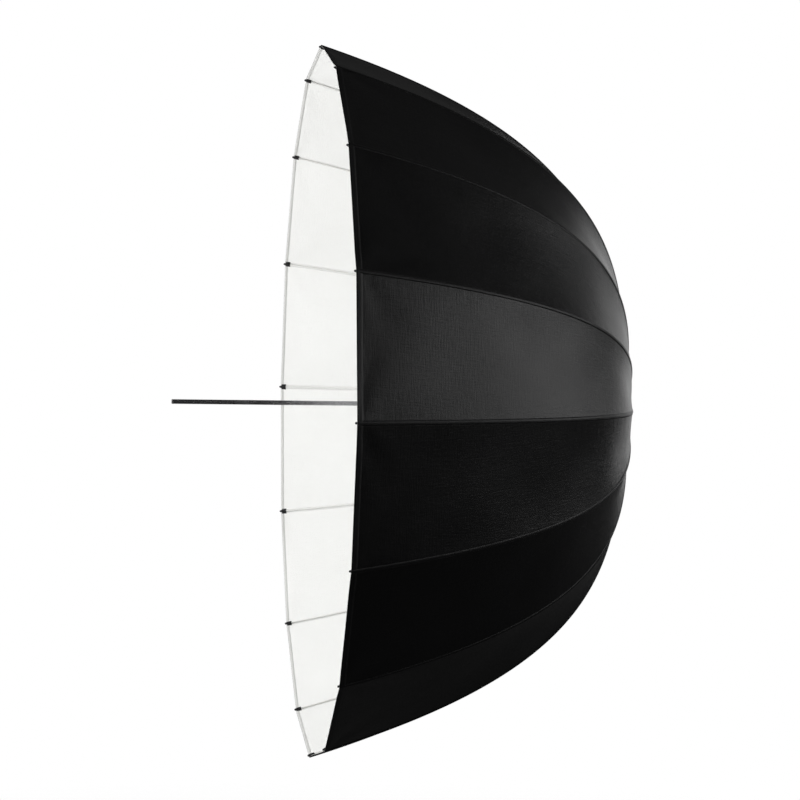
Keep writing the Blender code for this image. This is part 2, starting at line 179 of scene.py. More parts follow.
def side_line(s, inset):
    """x and radius of the rib line at s, and the inward normal there as (x, radius)."""
    radius = radius_of(s)
    slope = slope_at(radius)
    size = np.hypot(1, slope)
    return APEX_X - depth_at(radius) - inset / size, radius - inset * slope / size, -1 / size, -slope / size


def about_shaft(x, radius, angle):
    x, radius, angle = np.broadcast_arrays(x, radius, angle)
    return np.stack([x, -radius * np.sin(angle), radius * np.cos(angle)], -1)


def smooth(value):
    value = np.clip(value, 0, 1)
    return value * value * (3 - 2 * value)


def risen(distance, reach):
    """0 at no distance, and almost 1 past this reach."""
    return 1 - np.exp(-((distance / reach) ** 2))


def gore_phase(gore, number):
    """A fixed, uneven number between 0 and 2 pi for each gore."""
    value = np.sin((gore % RIB_COUNT) * 12.9898 + number * 78.233) * 43758.5453
    return 2 * math.pi * (value - np.floor(value))


def folds(u, s):
    """How far the cloth stands in from its taut shape: folds at the tips, puckers, undulation."""
    gore = np.floor(u)
    t = u - gore
    width = width_at(s)
    from_hem = CLOTH_LENGTH - s
    total = np.zeros(np.broadcast(u, s).shape)
    for side in (0, 1):
        across = (t if side == 0 else 1 - t) * width
        phase = gore_phase(gore + side * 0.37, 1)
        reach = np.hypot(across, np.maximum(from_hem, 0))
        turn = np.arctan2(across, np.maximum(from_hem, 0) + 1e-6)
        fan = np.sin(6 * turn + phase) + 0.5 * np.sin(10 * turn + 2.1 * phase)
        fan *= np.exp(-reach / TIP_FOLD_REACH) * risen(reach, TIP_FOLD_RISE)
        total += TIP_FOLD * fan * risen(across, TIP_FOLD_CLEAR)
        wave = np.sin(2 * math.pi * s / PUCKER_LENGTH + phase + 1.5 * np.sin(s / PUCKER_DRIFT + phase))
        total += PUCKER * wave * np.exp(-across / PUCKER_REACH) * risen(across, PUCKER_CLEAR)
    broad = np.sin(2 * math.pi * s / LONG_WAVE + gore_phase(gore, 2)) * np.sin(2 * math.pi * t)
    broad += 0.7 * np.sin(2 * math.pi * s / SHORT_WAVE + gore_phase(gore, 3)) * np.sin(math.pi * t)
    swell = np.sin(math.pi * np.clip(s / CLOTH_LENGTH, 0, 1)) ** 0.5
    total += UNDULATION * broad * swell * np.sin(math.pi * t)
    return total


def on_cloth(u, s, inset):
    """Points of the bowl: straight from rib to rib, then hollowed and folded."""
    u, s, inset = np.broadcast_arrays(u, s, inset)
    gore = np.floor(u)
    t = (u - gore)[..., None]
    x, radius, normal_x, normal_r = side_line(s, inset)
    near = about_shaft(x, radius, gore * GORE_ANGLE)
    far = about_shaft(x, radius, (gore + 1) * GORE_ANGLE)
    points = near * (1 - t) + far * t
    sag = GORE_SAG * np.sin(math.pi * np.clip(s / CLOTH_LENGTH, 0, 1))[..., None] ** 2
    points += about_shaft(normal_x, normal_r, (gore + 0.5) * GORE_ANGLE) * sag * 4 * t * (1 - t)
    return points + about_shaft(normal_x, normal_r, u * GORE_ANGLE) * folds(u, s)[..., None]


# ---------------------------------------------------------------- joints of the ribs

def joint_point(name):
    """A joint's place in its rib's plane, as (x, radius)."""
    x, _, z = joints[name]["pos_m"]
    return np.array([x, z])


def rod_point(s):
    x, radius, _, _ = side_line(s, ROD_INSET)
    return np.array([float(x), float(radius)])


EYE, PIVOT, BEND = (joint_point(n) for n in ("rib_fold_01", "strut_swing_01", "rib_bend_01"))
wire_low, wire_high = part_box("runner_wire")
RUNNER_EYE = np.array([(wire_low.x + wire_high.x) / 2, EYE[1]])


def nearest_length(target):
    lengths = np.linspace(0, CLOTH_LENGTH, 4000)
    x, radius, _, _ = side_line(lengths, ROD_INSET)
    return float(lengths[np.argmin(np.hypot(x - target[0], radius - target[1]))])


BEND_S = nearest_length(BEND)
BRACKET_S = nearest_length(PIVOT)
BEND_START = rod_point(BEND_S - BEND_LEAD)
BEND_END = rod_point(BEND_S + BEND_LENGTH)


def outer_share(s):
    """How much a point at s follows the outer half of its rib."""
    x, radius, _, _ = side_line(s, ROD_INSET)
    way = BEND_END - BEND_START
    along = ((x - BEND_START[0]) * way[0] + (radius - BEND_START[1]) * way[1]) / (way @ way)
    return smooth(along)


def body_shares(u, s):
    """(body name, share for each point) of the cloth: the crown, then each rib's two halves."""
    gore = np.floor(u)
    t = u - gore
    hub = 1 - smooth((radius_of(s) - CROWN_HOLD_RADIUS) / CROWN_HOLD_FADE)
    pleat = hub + (1 - hub) * PLEAT_SHARE * np.sin(math.pi * t)
    outer = outer_share(s)
    shares = [("frame", pleat)]
    for rib in range(RIB_COUNT):
        mine = np.where(gore % RIB_COUNT == rib, 1 - t, 0) + np.where((gore + 1) % RIB_COUNT == rib, t, 0)
        mine = mine * (1 - pleat)
        shares.append((f"inner_{rib + 1:02d}", mine * (1 - outer)))
        shares.append((f"outer_{rib + 1:02d}", mine * outer))
    return shares


def cloth_rig():
    """One bone for each body that the cloth follows."""
    names = ["frame"] + [f"{half}_{k + 1:02d}" for k in range(RIB_COUNT) for half in ("inner", "outer")]
    data = bpy.data.armatures.new("cloth_rig")
    rig = bpy.data.objects.new("cloth_rig", data)
    bpy.context.scene.collection.objects.link(rig)
    bpy.context.view_layer.objects.active = rig
    bpy.ops.object.mode_set(mode="EDIT")
    for name in names:
        bone = data.edit_bones.new(name)
        bone.head, bone.tail, bone.roll = (0, 0, 0), (0, 1, 0), 0
    bpy.ops.object.mode_set(mode="OBJECT")
    for name in names:
        follow = rig.pose.bones[name].constraints.new("COPY_TRANSFORMS")
        follow.target = frame["bodies"][name]
    return rig


# ---------------------------------------------------------------- mesh helpers

def link(name, mesh):
    thing = bpy.data.objects.new(name, mesh)
    bpy.context.scene.collection.objects.link(thing)
    return thing


def mesh_from(name, points, faces, materials, slots=None, uv=None):
    """A smooth mesh; slots gives each face's material and uv each face corner's place."""
    mesh = bpy.data.meshes.new(name)
    mesh.from_pydata(np.asarray(points, float).reshape(-1, 3).tolist(), [], [list(f) for f in faces])
    for made in materials:
        mesh.materials.append(made)
    mesh.polygons.foreach_set("use_smooth", [True] * len(mesh.polygons))
    if slots is not None:
        mesh.polygons.foreach_set("material_index", list(slots))
    if uv is not None:
        layer = mesh.uv_layers.new(name="cloth")
        layer.data.foreach_set("uv", np.asarray(uv, np.float32).ravel())
    mesh.update()
    return mesh


def turned_over(corners):
    """A face's corners the other way round, from the same first corner, so that layers split alike."""
    return [corners[0], *corners[:0:-1]]


def ring_faces(count, sides, closed=False):
    """Faces that join each ring of points to the next, and with closed the last to the first."""
    faces = []
    for i in range(count if closed else count - 1):
        low, high = i * sides, (i + 1) % count * sides
        for a in range(sides):
            b = (a + 1) % sides
            faces.append((low + a, low + b, high + b, high + a))
    return faces


def end_faces(count, sides):
    last = (count - 1) * sides
    return [tuple(range(sides))[::-1], tuple(range(last, last + sides))]


class Shape:
    """Points and faces gathered for one mesh, drawn in a rib's plane: x, then across, then radius."""

    def __init__(self):
        self.points, self.faces, self.slots = [], [], []

    def add(self, points, faces, slot=0):
        start = sum(len(p) for p in self.points)
        self.points.append(np.asarray(points, float).reshape(-1, 3))
        self.faces += [[start + i for i in face] for face in faces]
        self.slots += [slot] * len(faces)

    def tube(self, sections, sides=16):
        """Sections are (x, radius, heading, half height, half width, power): power 2 is round."""
        rings = []
        angles = 2 * math.pi * np.arange(sides) / sides
        for x, z, heading, height, width, power in sections:
            c, s = np.cos(angles), np.sin(angles)
            rise = np.sign(s) * np.abs(s) ** (2 / power) * height
            side = np.sign(c) * np.abs(c) ** (2 / power) * width
            rings.append(
                np.stack([x - math.sin(heading) * rise, side, z + math.cos(heading) * rise], -1)
            )
        self.add(rings, ring_faces(len(rings), sides) + end_faces(len(rings), sides))

    def plate(self, outline, half, hole=None, rounding=0.00025, across=0.0):
        """A flat plate in the rib's plane or beside it, with rounded edges and maybe a round hole."""
        outline = np.asarray(outline, float)
        count = len(outline)
        centre = np.mean(outline, 0)
        away = outline - centre
        sizes = np.linalg.norm(away, axis=1, keepdims=True)
        loops = []
        for shrink, y in ((rounding, -half), (0, rounding - half), (0, half - rounding), (rounding, half)):
            loop = centre + away * (1 - shrink / sizes)
            loops.append(np.stack([loop[:, 0], np.full(count, y + across), loop[:, 1]], -1))
        if hole is not None:
            place, size = np.asarray(hole[0]), hole[1]
            turn = np.arctan2(outline[:, 1] - place[1], outline[:, 0] - place[0])
            rim = place + size * np.stack([np.cos(turn), np.sin(turn)], -1)
            for y in (half, -half):
                loops.append(np.stack([rim[:, 0], np.full(count, y + across), rim[:, 1]], -1))
            loops.append(loops[0])
        faces = ring_faces(len(loops), count)
        if hole is None:
            faces += end_faces(len(loops), count)
        self.add(loops, faces)

    def pin(self, place, radius, half, slot=0, dome=0.0, across=0.0, sides=20):
        """A pin square to the rib's plane, with flat or domed ends."""
        steps = [(radius, -half), (radius, half)]
        if dome:
            steps = [(radius * f, -half - dome * g) for f, g in ((0.35, 1.0), (0.75, 0.72), (1.0, 0.0))]
            steps += [(r, -y) for r, y in steps[::-1]]
        angles = 2 * math.pi * np.arange(sides) / sides
        rings = [
            np.stack([place[0] + r * np.cos(angles), np.full(sides, y), place[1] + r * np.sin(angles)], -1)
            for r, y in ((r, y + across) for r, y in steps)
        ]
        faces = [turned_over(face) for face in ring_faces(len(rings), sides)]
        self.add(rings, faces + [face[::-1] for face in end_faces(len(rings), sides)], slot)

    def mesh(self, name, materials, turn=0.0):
        mesh = mesh_from(name, np.concatenate(self.points), self.faces, materials, self.slots)
        mesh.transform(Matrix.Rotation(turn, 4, "X"))
        return crisp(mesh)


def notched_ring(x, radius, count, width, floor):
    """One ring round the shaft with slots cut down to floor, the first of them at +Z."""
    part = 2 * math.pi / count
    low, edge = min(radius, floor), math.asin(width / 2 / max(radius, floor))
    foot = math.asin(width / 2 / floor)
    ring = []
    for k in range(count):
        middle = k * part
        corners = ((radius, -edge), (low, -foot), (low, foot), (radius, edge))
        ring += [(size, middle + turn) for size, turn in corners]
        ring += [(radius, middle + edge + f * (part - 2 * edge)) for f in np.linspace(0, 1, 7)[1:-1]]
    sizes, angles = np.array(ring).T
    return about_shaft(x, sizes, angles)


def turned(name, outline, materials, segments=64, closed=False, notch=None, offset=0.0):
    """Turns (x, radius) about the shaft; notch = (count, width, floor) cuts slots down to floor."""
    angles = 2 * math.pi * np.arange(segments) / segments
    if notch:
        rings = [notched_ring(offset + x, radius, *notch) for x, radius in outline]
    else:
        rings = [about_shaft(offset + x, radius, angles) for x, radius in outline]
    sides = len(rings[0])
    faces = ring_faces(len(rings), sides, closed)
    if not closed:
        faces += end_faces(len(rings), sides)
    return crisp(mesh_from(name, np.concatenate(rings), faces, materials))


def crisp(mesh, angle=38):
    """Joins coincident points, turns the faces out, and shades flats apart from their neighbours."""
    shape = bmesh.new()
    shape.from_mesh(mesh)
    bmesh.ops.remove_doubles(shape, verts=shape.verts, dist=1e-6)
    bmesh.ops.recalc_face_normals(shape, faces=shape.faces)
    shape.to_mesh(mesh)
    shape.free()
    mesh.set_sharp_from_angle(angle=math.radians(angle))
    return mesh


def cut(mesh, cutters):
    """The mesh with the other meshes cut from it."""
    helpers = [link("helper", m) for m in (mesh, *cutters)]
    for cutter in helpers[1:]:
        step = helpers[0].modifiers.new("cut", "BOOLEAN")
        step.solver = "EXACT"
        step.operation = "DIFFERENCE"
        step.object = cutter
    bpy.context.view_layer.update()
    graph = bpy.context.evaluated_depsgraph_get()
    result = bpy.data.meshes.new_from_object(helpers[0].evaluated_get(graph))
    for helper in helpers:
        bpy.data.objects.remove(helper, do_unlink=True)
    return crisp(result)


def block(name, x, half_width, z):
    """A box across the XZ plane: x and z are (low, high)."""
    points = [(a, b, c) for a in x for b in (-half_width, half_width) for c in z]
    faces = [(0, 1, 3, 2), (4, 6, 7, 5), (0, 4, 5, 1), (2, 3, 7, 6), (0, 2, 6, 4), (1, 5, 7, 3)]
    return mesh_from(name, points, faces, [])


# ---------------------------------------------------------------- materials

class Finish:
    """A Principled material and the nodes that feed it. Fixed values sit on the shader itself."""

    def __init__(self, name, fixed):
        self.material = bpy.data.materials.new(name)
        self.material.use_nodes = True
        self.tree = self.material.node_tree
        self.shader = self.tree.nodes["Principled BSDF"]
        for socket, value in fixed.items():
            self.shader.inputs[socket].default_value = value

    def node(self, kind, inputs=(), **settings):
        made = self.tree.nodes.new(kind)
        for key, value in settings.items():
            setattr(made, key, value)
        for socket, value in dict(inputs).items():
            self.feed(made.inputs[socket], value)
        return made

    def feed(self, socket, value):
        if isinstance(value, bpy.types.NodeSocket):
            self.tree.links.new(value, socket)
        elif value is not None:
            socket.default_value = value

    def math(self, operation, a, b=None, clamp=False):
        made = self.node("ShaderNodeMath", {0: a, 1: b}, operation=operation)
        made.use_clamp = clamp
        return made.outputs[0]

    def place(self):
        """Position on the object at rest, in metres."""
        return self.node("ShaderNodeTexCoord").outputs["Object"]

    def cloth(self):
        """Metres across and along the cloth."""
        return self.node("ShaderNodeUVMap", uv_map="cloth").outputs["UV"]

    def stretched(self, vector, scale):
        return self.node("ShaderNodeMapping", {"Vector": vector, "Scale": scale}).outputs[0]

    def noise(self, vector, scale, detail=3.0, roughness=0.55):
        inputs = {"Vector": vector, "Scale": scale, "Detail": detail, "Roughness": roughness}
        return self.node("ShaderNodeTexNoise", inputs).outputs["Fac"]

    def ramp(self, value, low, high, to_low=0.0, to_high=1.0):
        inputs = {"Value": value, "From Min": low, "From Max": high, "To Min": to_low, "To Max": to_high}
        return self.node("ShaderNodeMapRange", inputs, clamp=True).outputs["Result"]

    def blend(self, share, first, second):
        made = self.node("ShaderNodeMix", data_type="RGBA")
        self.feed(made.inputs["Factor"], share)
        for socket, value in ((made.inputs[6], first), (made.inputs[7], second)):
            self.feed(socket, value if isinstance(value, bpy.types.NodeSocket) else (*value, 1.0))
        return made.outputs[2]

    def bump(self, height, distance, strength=1.0, normal=None):
        inputs = {"Height": height, "Distance": distance, "Strength": strength, "Normal": normal}
        return self.node("ShaderNodeBump", inputs).outputs["Normal"]

    def end(self, colour=None, roughness=None, normal=None):
        for socket, value in (("Base Color", colour), ("Roughness", roughness), ("Normal", normal)):
            if value is not None:
                self.feed(self.shader.inputs[socket], value)
        return self.material


def wave(finish, value, pitch):
    """A sine of this pitch along a length."""
    return finish.math("SINE", finish.math("MULTIPLY", value, 2 * math.pi / pitch))


def weave(finish, cloth, pitch):
    """Plain weave: each thread rises over one neighbour and dives under the next."""
    parts = finish.node("ShaderNodeSeparateXYZ", {0: cloth})
    across, along = wave(finish, parts.outputs[0], pitch * 2), wave(finish, parts.outputs[1], pitch * 2)
    return finish.math("MULTIPLY", across, along)


def stitch_row(finish, along, across, at, pitch=0.0028, width=0.0009):
    """1 on the thread of a row of stitches that stands at this distance across."""
    off = finish.math("ABSOLUTE", finish.math("SUBTRACT", across, at))
    on_row = finish.ramp(off, width / 2, width / 2 - 0.0002)
    step = finish.math("FRACT", finish.math("DIVIDE", along, pitch))
    on_thread = finish.ramp(finish.math("ABSOLUTE", finish.math("SUBTRACT", step, 0.5)), 0.40, 0.34)
    return finish.math("MULTIPLY", on_row, on_thread)


SLUB_SCALES = ((380, 45, 1), (45, 380, 1))


def cloth_finish(name, colour, deep, roughness, pitch, specular, sheen, rows=(), thread=None, swap=False):
    """Woven cloth. rows are distances across at which stitches run, and thread is their colour."""
    fixed = {"Specular IOR Level": specular, "Sheen Weight": sheen, "Sheen Roughness": 0.45}
    made = Finish(name, fixed)
    cloth = made.cloth()
    parts = made.node("ShaderNodeSeparateXYZ", {0: cloth})
    threads = made.noise(made.stretched(cloth, (1500, 90, 1)), 1.0, 2.0)
    threads_other = made.noise(made.stretched(cloth, (90, 1500, 1)), 1.0, 2.0)
    streaks = made.math("MULTIPLY", made.math("ADD", threads, threads_other), 0.5)
    patches = made.noise(made.place(), 5.0, 4.0)
    shade = made.math("ADD", made.math("MULTIPLY", streaks, 0.45), made.math("MULTIPLY", patches, 0.55))
    tint = made.blend(made.ramp(shade, 0.34, 0.66), deep, colour)
    height = weave(made, cloth, pitch)
    normal = made.bump(height, pitch * 0.10, 0.6)
    crease = made.noise(made.stretched(cloth, (26, 9, 1)), 1.0, 4.0, 0.6)
    normal = made.bump(crease, 0.0012, 0.5, normal)
    slubs = [made.noise(made.stretched(cloth, scale), 1.0, 3.0, 0.6) for scale in SLUB_SCALES]
    normal = made.bump(made.math("ADD", *slubs), 0.0006, 0.6, normal)
    rough = made.ramp(patches, 0.3, 0.7, roughness - 0.05, roughness + 0.05)
    if rows:
        across, along = parts.outputs[:2][::-1] if swap else parts.outputs[:2]
        threads_on = stitch_row(made, along, across, rows[0])
        for at in rows[1:]:
            threads_on = made.math("MAXIMUM", threads_on, stitch_row(made, along, across, at))
        tint = made.blend(threads_on, tint, thread)
        normal = made.bump(threads_on, 0.00025, 0.8, normal)
    return made.end(tint, rough, normal)


def plastic_finish(name, colour, worn, roughness, grain=1300.0):
    """Moulded plastic: fine grain, softer gloss in patches, edges rubbed a little lighter."""
    made = Finish(name, {"Specular IOR Level": 0.45})
    place = made.place()
    patches = made.noise(place, 90.0, 4.0)
    edge = made.ramp(made.node("ShaderNodeNewGeometry").outputs["Pointiness"], 0.52, 0.60)
    rubbed = made.math("MULTIPLY", edge, made.ramp(made.noise(place, 420.0), 0.35, 0.65), clamp=True)
    tint = made.blend(rubbed, made.blend(patches, colour, [c * 1.5 + 0.004 for c in colour]), worn)
    rough = made.ramp(patches, 0.3, 0.7, roughness - 0.07, roughness + 0.08)
    normal = made.bump(made.noise(place, grain, 2.0), 0.00004, 0.5)
    return made.end(tint, rough, normal)


def metal_finish(name, colour, pale, roughness, stretch):
    """Metal with drawn or ground lines along the direction that stretch leaves long."""
    made = Finish(name, {"Metallic": 1.0})
    place = made.place()
    lines = made.noise(made.stretched(place, stretch), 1.0, 3.0, 0.6)
    patches = made.noise(place, 24.0, 5.0)
    tint = made.blend(made.ramp(made.math("MULTIPLY", lines, patches), 0.15, 0.40), colour, pale)
    smudge = made.math("MULTIPLY", made.ramp(patches, 0.45, 0.75), 0.08)
    rough = made.math("ADD", made.ramp(lines, 0.3, 0.7, roughness - 0.03, roughness + 0.03), smudge)
    return made.end(tint, rough, made.bump(lines, 0.00001, 0.25))


def rod_finish():
    """White glass-fibre rod: glass strands show faintly along it under a clear skin."""
    made = Finish("rib_fibreglass", {"Specular IOR Level": 0.5, "Coat Weight": 0.25, "Coat Roughness": 0.2})
    place = made.place()
    away = made.node("ShaderNodeVectorMath", {0: place, 1: (1, 0, 0)}, operation="CROSS_PRODUCT")
    radius = made.node("ShaderNodeVectorMath", {0: away.outputs[0]}, operation="LENGTH").outputs["Value"]
    strands = made.noise(made.stretched(place, (700, 700, 700)), 1.0, 4.0, 0.65)
    bands = made.noise(made.stretched(radius, (38, 1, 1)), 1.0, 3.0)
    shade = made.math("ADD", made.math("MULTIPLY", strands, 0.6), made.math("MULTIPLY", bands, 0.4))
    tint = made.blend(made.ramp(shade, 0.35, 0.65), (0.70, 0.70, 0.68), (0.82, 0.82, 0.80))
    return made.end(tint, made.ramp(strands, 0.3, 0.7, 0.32, 0.46), made.bump(strands, 0.00003, 0.4))


BLACK, BLACK_DEEP = (0.0070, 0.0070, 0.0074), (0.0045, 0.0045, 0.0048)
BLACK_THREAD = (0.011, 0.011, 0.012)
WHITE, WHITE_DEEP = (0.885, 0.888, 0.875), (0.85, 0.85, 0.835)
BLACK_GLOSS, WHITE_GLOSS = 0.30, 0.25

cover_cloth = cloth_finish("cover_nylon", BLACK, BLACK_DEEP, 0.40, 0.00042, BLACK_GLOSS, 0.01)
lining_cloth = cloth_finish("lining_polyester", WHITE, WHITE_DEEP, 0.62, 0.00040, WHITE_GLOSS, 0.10)
seam_cloth = cloth_finish(
    "seam_nylon", BLACK, BLACK_DEEP, 0.46, 0.00042, BLACK_GLOSS, 0.01,
    rows=(-0.0024, 0.0024), thread=BLACK_THREAD,
)
tape_cloth = cloth_finish(
    "seam_tape_white", (0.86, 0.86, 0.845), (0.80, 0.80, 0.785), 0.66, 0.0005, WHITE_GLOSS, 0.10,
    rows=(-0.0024, 0.0024), thread=(0.93, 0.93, 0.92),
)
hem_cloth = cloth_finish(
    "hem_binding_black", BLACK, BLACK_DEEP, 0.50, 0.0006, BLACK_GLOSS, 0.01,
    rows=(0.0022, 0.0072), thread=BLACK_THREAD, swap=True,
)
pocket_cloth = cloth_finish(
    "pocket_webbing_black", (0.012, 0.012, 0.013), BLACK, 0.55, 0.0011, BLACK_GLOSS, 0.01,
    rows=(-0.0044, -0.0034, 0.0034, 0.0044), thread=(0.020, 0.020, 0.021),
)
hem_tape_cloth = cloth_finish(
    "hem_tape_grey", (0.66, 0.66, 0.645), (0.58, 0.58, 0.565), 0.66, 0.0005, WHITE_GLOSS, 0.10,
    rows=(0.0022,), thread=(0.86, 0.86, 0.85), swap=True,
)
patch_cloth = cloth_finish(
    "apex_patch_black", BLACK, BLACK_DEEP, 0.50, 0.0006, BLACK_GLOSS, 0.01,
    rows=(0.027, 0.0235), thread=BLACK_THREAD, swap=True,
)
inner_patch_cloth = cloth_finish(
    "apex_patch_white", (0.88, 0.88, 0.865), (0.82, 0.82, 0.805), 0.62, 0.0005, WHITE_GLOSS, 0.10,
    rows=(0.033,), thread=(0.95, 0.95, 0.94), swap=True,
)
black_nylon = plastic_finish("hub_nylon", (0.016, 0.016, 0.017), (0.055, 0.055, 0.055), 0.42)
tip_nylon = plastic_finish("tip_nylon", (0.011, 0.011, 0.012), (0.05, 0.05, 0.05), 0.38, 1800.0)
gloss_nylon = plastic_finish("finial_nylon", (0.013, 0.013, 0.013), (0.05, 0.05, 0.05), 0.30)
shaft_steel = metal_finish("shaft_dark_steel", (0.30, 0.30, 0.31), (0.35, 0.35, 0.36), 0.24, (5, 500, 500))
wire_steel = metal_finish("ring_wire", (0.52, 0.52, 0.53), (0.70, 0.70, 0.71), 0.26, (900, 200, 200))
plated_steel = metal_finish(
    "stretcher_plated_steel", (0.50, 0.50, 0.51), (0.58, 0.58, 0.59), 0.33, (700, 700, 700)
)
spring_steel = metal_finish("catch_steel", (0.45, 0.45, 0.46), (0.62, 0.62, 0.63), 0.28, (60, 900, 900))
rod_white = rod_finish()


# ---------------------------------------------------------------- cloth

rig = cloth_rig()


def sewn(name, points, faces, cloth, uv, u, s):
    """A finished piece of cloth, which follows the ribs at its (u, s)."""
    piece = link(name, mesh_from(name, points, faces, [cloth], uv=uv))
    for bone, share in body_shares(u.ravel(), s.ravel()):
        used = np.nonzero(share > LEAST_SHARE)[0]
        if len(used):
            group = piece.vertex_groups.new(name=bone)
            for index in used:
                group.add([int(index)], float(share[index]), "REPLACE")
    follow = piece.modifiers.new("ribs", "ARMATURE")
    follow.object = rig
    follow.use_vertex_groups = True
    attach(piece, "frame")
    return piece


def cloth_faces(rows, columns, spans, uv_of, outward):
    """Faces between neighbouring columns, and the place on the cloth of each of their corners.

    spans are (left, right), each with its column and then what uv_of takes besides the row.
    """
    faces, uv = [], []
    for i in range(rows - 1):
        for left, right in spans:
            square = [(i, left), (i, right), (i + 1, right), (i + 1, left)]
            if outward:
                square = turned_over(square)
            faces.append([row * columns + side[0] for row, side in square])
            uv += [uv_of(row, *side[1:]) for row, side in square]
    return faces, uv


def cloth_piece(name, lengths, inset, cloth, uv_of, outward=True):
    """One sewn piece all round the shaft. inset is one depth, or one for each length.

    uv_of gives a place on the cloth for a row, a gore and the share of the way across it.
    """
    count, rows = RIB_COUNT * len(GORE_COLUMNS), len(lengths)
    u = np.tile([k + c for k in range(RIB_COUNT) for c in GORE_COLUMNS], (rows, 1))
    s = np.repeat(lengths[:, None], count, 1)
    points = on_cloth(u, s, np.reshape(inset, (-1, 1))).reshape(-1, 3)
    spans = []
    for j in range(count):
        gore, column = divmod(j, len(GORE_COLUMNS))
        left, right = (*GORE_COLUMNS, 1.0)[column:column + 2]
        spans.append(((j, gore, left), ((j + 1) % count, gore, right)))
    faces, uv = cloth_faces(rows, count, spans, uv_of, outward)
    return sewn(name, points, faces, cloth, uv, u, s)


cloth_lengths = np.linspace(0, CLOTH_LENGTH, CLOTH_ROWS)


def gore_uv(row, gore, t):
    """Metres from the middle of the gore, with the gores laid out side by side."""
    length = cloth_lengths[row]
    return (gore * GORE_SPACING + (t - 0.5) * width_at(length), length)


cover = cloth_piece("cover_cloth", cloth_lengths, COVER_INSET, cover_cloth, gore_uv)
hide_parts("canopy_cover")
lining = cloth_piece(
    "lining_cloth", cloth_lengths, LINING_INSET, lining_cloth, gore_uv, outward=False
)
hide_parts("canopy_lining")


def mirrored(half):
    """Heights across a strip, from its middle outwards, made whole."""
    return [(-share, inset) for share, inset in half[:0:-1]] + half


def rib_strips(name, lengths, half_width, heights, cloth, outward, on_rib=False):
    """A strip along every rib line: heights are (share of half width, inset).

    It follows the cloth as the ribs fold, or with on_rib the ribs alone.
    """
    widths = width_at(lengths)
    half = np.minimum(half_width, STRIP_SHARE * widths)
    shares, insets = np.array(heights).T
    count, total = len(shares), len(shares) * RIB_COUNT
    columns = [(rib + share * half / widths) % RIB_COUNT for rib in range(RIB_COUNT) for share in shares]
    u, s = np.array(columns).T, np.repeat(lengths[:, None], total, 1)
    points = on_cloth(u, s, np.tile(insets, RIB_COUNT)).reshape(-1, 3)
    spans = [
        ((rib * count + c, shares[c]), (rib * count + c + 1, shares[c + 1]))
        for rib in range(RIB_COUNT) for c in range(count - 1)
    ]

    def uv_of(row, share):
        return (share * half[row], lengths[row])

    faces, uv = cloth_faces(len(lengths), total, spans, uv_of, outward)
    return sewn(name, points, faces, cloth, uv, np.round(u) if on_rib else u, s)


seam_lengths = np.linspace(length_of(SEAM_START_RADIUS), CLOTH_LENGTH - 0.0005, CLOTH_ROWS)
fell = mirrored([(0.0, -0.0006), (0.5, -0.00045), (0.94, -0.0003), (1.0, 0.0002)])
seams = rib_strips("cover_seams", seam_lengths, SEAM_HALF_WIDTH, fell, seam_cloth, True)
tape = mirrored([(0.0, 0.0015), (0.95, 0.0014), (1.0, 0.0011)])
inner_tape = rib_strips(
    "lining_seam_tape", seam_lengths, SEAM_HALF_WIDTH, tape, tape_cloth, False
)

# A pocket of webbing over the end of each rib, from the lining up and round the tip cap
pocket_lengths = CLOTH_LENGTH + np.linspace(-0.0098, -0.0012, 9)
arch = mirrored([
    (0.0, 0.0064), (0.16, 0.0063), (0.32, 0.0058), (0.44, 0.0049), (0.52, 0.0036), (0.60, 0.0024),
    (0.72, 0.0018), (0.96, 0.0016), (1.0, 0.0011),
])
pockets = rib_strips(
    "tip_pockets", pocket_lengths, POCKET_HALF_WIDTH, arch, pocket_cloth, False, on_rib=True
)


def hem_strip(name, path, cloth):
    """A binding along the whole hem: path is (distance past the hem, inset), from outside to inside."""
    path = np.array(path)
    run = np.concatenate([[0], np.cumsum(np.hypot(*np.diff(path, axis=0).T))])

    def uv_of(row, gore, t):
        return ((gore + t) * GORE_WIDTH, run[row])

    return cloth_piece(name, CLOTH_LENGTH + path[:, 0], path[:, 1], cloth, uv_of)


hem = hem_strip("cover_hem", [
    (-0.0100, 0.0002), (-0.0097, -0.0002), (-0.0060, -0.0004), (-0.0015, -0.0004), (0.0, -0.0003),
    (0.0004, 0.0000), (0.0006, 0.0004), (0.0005, 0.0008), (0.0002, 0.0010),
], hem_cloth)
inner_hem = hem_strip("lining_hem_tape", [
    (0.0001, 0.0009), (0.0004, 0.0012), (0.0002, 0.0014), (-0.0020, 0.0015), (-0.0048, 0.0014),
    (-0.0051, 0.0010),
], hem_tape_cloth)


PATCH_BEND = (0.0165, 0.0185)
PATCH_EDGE = 0.0004


def round_patch(name, radius, insets, cloth, outward):
    """A round of cloth that backs the hole in the middle; insets are at its hole, bend and edge."""
    radii = np.concatenate([np.linspace(HUB_HOLE_RADIUS, radius, 12), [radius + PATCH_EDGE]])
    lengths = np.array([length_of(r) for r in radii])
    depth = np.interp(radii, (HUB_HOLE_RADIUS, *PATCH_BEND, radius, radius + PATCH_EDGE), insets)

    def uv_of(row, gore, t):
        return ((gore + t) * GORE_ANGLE * radii[row], radii[row])

    return cloth_piece(name, lengths, depth, cloth, uv_of, outward=outward)


apex_patch = round_patch(
    "apex_patch", 0.030, (0.0, 0.0, -0.0008, -0.0009, 0.0002), patch_cloth, True
)
inner_patch = round_patch(
    "apex_patch_inside", 0.036, (0.0014, 0.0014, 0.0014, 0.0015, 0.0010), inner_patch_cloth,
    False,
)


widths = width_at(cloth_lengths)


# ---------------------------------------------------------------- ribs, brackets, caps, stretchers

def heading_between(a, b):
    return math.atan2(b[1] - a[1], b[0] - a[0])


def along(point, heading, distance):
    return np.array([point[0] + math.cos(heading) * distance, point[1] + math.sin(heading) * distance])


